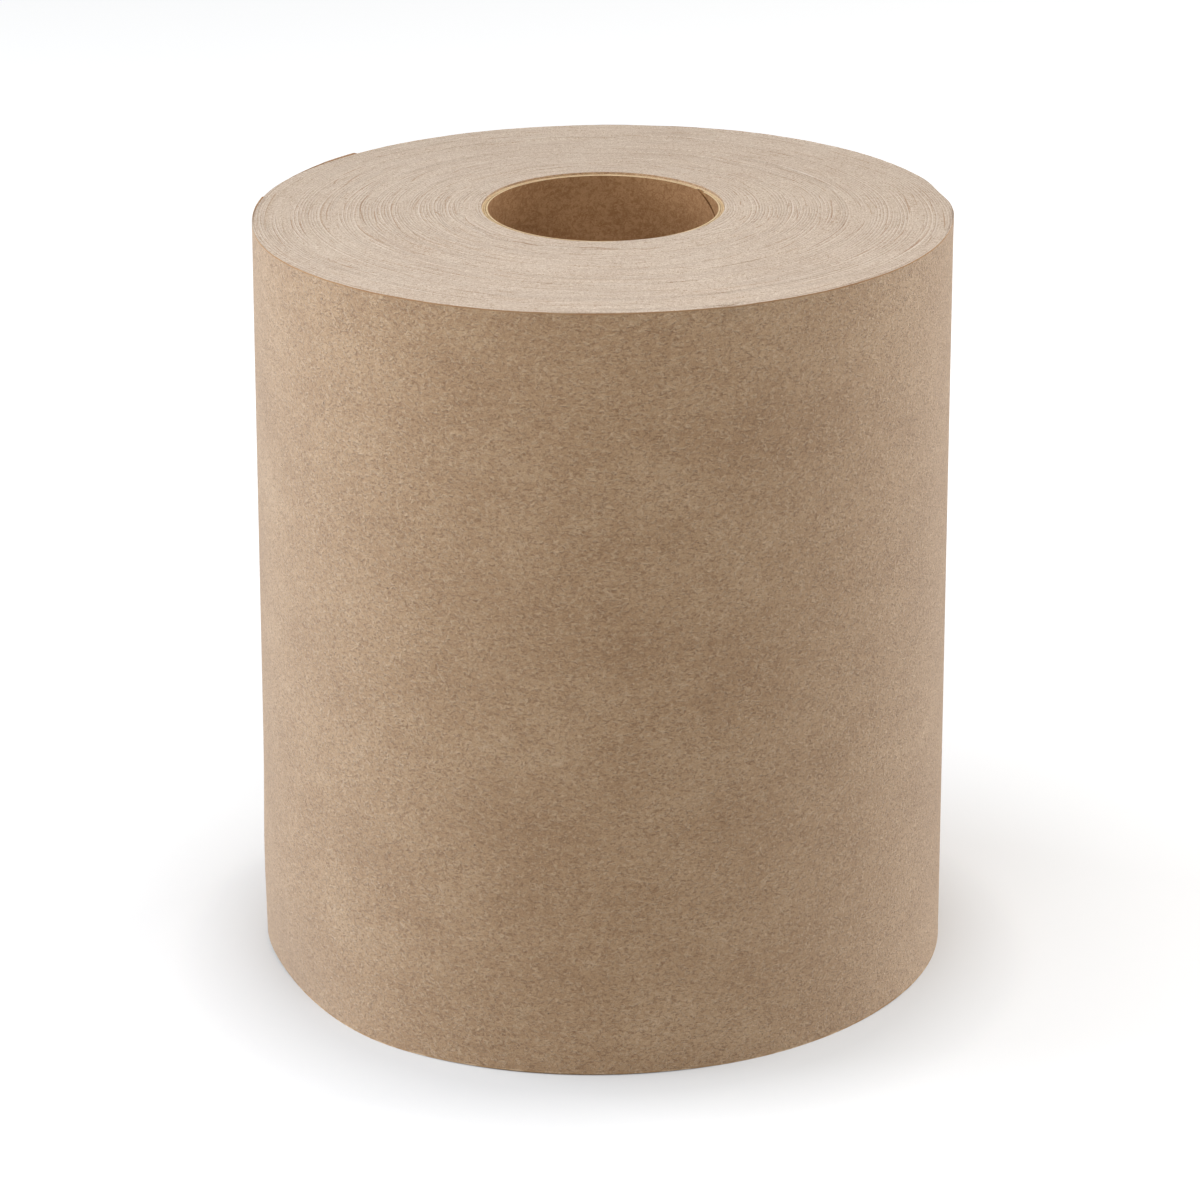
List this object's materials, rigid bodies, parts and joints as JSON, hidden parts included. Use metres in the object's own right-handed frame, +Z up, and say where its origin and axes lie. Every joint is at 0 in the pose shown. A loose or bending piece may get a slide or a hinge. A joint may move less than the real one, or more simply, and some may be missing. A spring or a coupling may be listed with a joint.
{
  "type": "paper towel roll",
  "caption": "Full hardwound roll of brown kraft paper towel on a paperboard core, standing on end, for a spindle or a roll dispenser.",
  "frame": {"origin": "on the roll's axis, at the floor it stands on", "axes": "+Z up along the axis. The picture's camera looks along +Y, so its right is +X. The web's outer end is at 139 degrees from +X, at the left and back."},
  "size_m": [0.1829, 0.1827, 0.205],
  "materials": {
    "towel_paper": "matte",
    "core_board": "matte"
  },
  "bodies": {
    "root": {"towel_web": "towel_paper", "core_tube": "core_board"}
  },
  "joints": []
}
